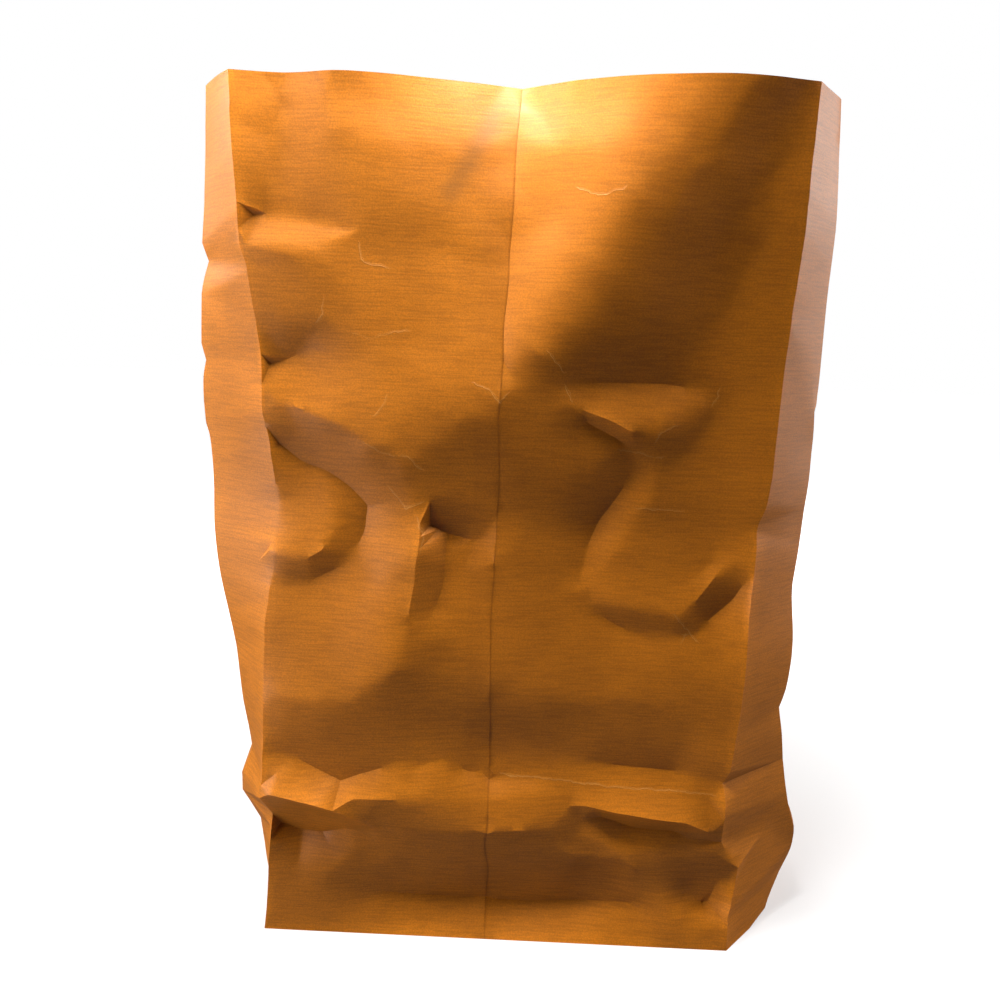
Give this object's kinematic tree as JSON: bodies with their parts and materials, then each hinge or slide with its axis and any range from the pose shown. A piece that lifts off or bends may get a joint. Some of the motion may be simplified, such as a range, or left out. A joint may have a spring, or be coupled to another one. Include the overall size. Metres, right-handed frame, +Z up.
{
  "type": "paper bag",
  "caption": "Block-bottom kraft paper carrier bag standing open, crumpled from use, with a glued seam up the front and a plain cut rim",
  "frame": {"origin": "middle of the plain base rectangle, on the face the bag stands on", "axes": "+Z up to the open rim, the panel with the glued seam faces -Y, +X to its right as seen from the front"},
  "size_m": [0.3419, 0.1729, 0.432],
  "materials": {
    "kraft_paper": "matte, finely ribbed, creased"
  },
  "bodies": {
    "root": {"paper_bag": "kraft_paper"}
  },
  "joints": []
}
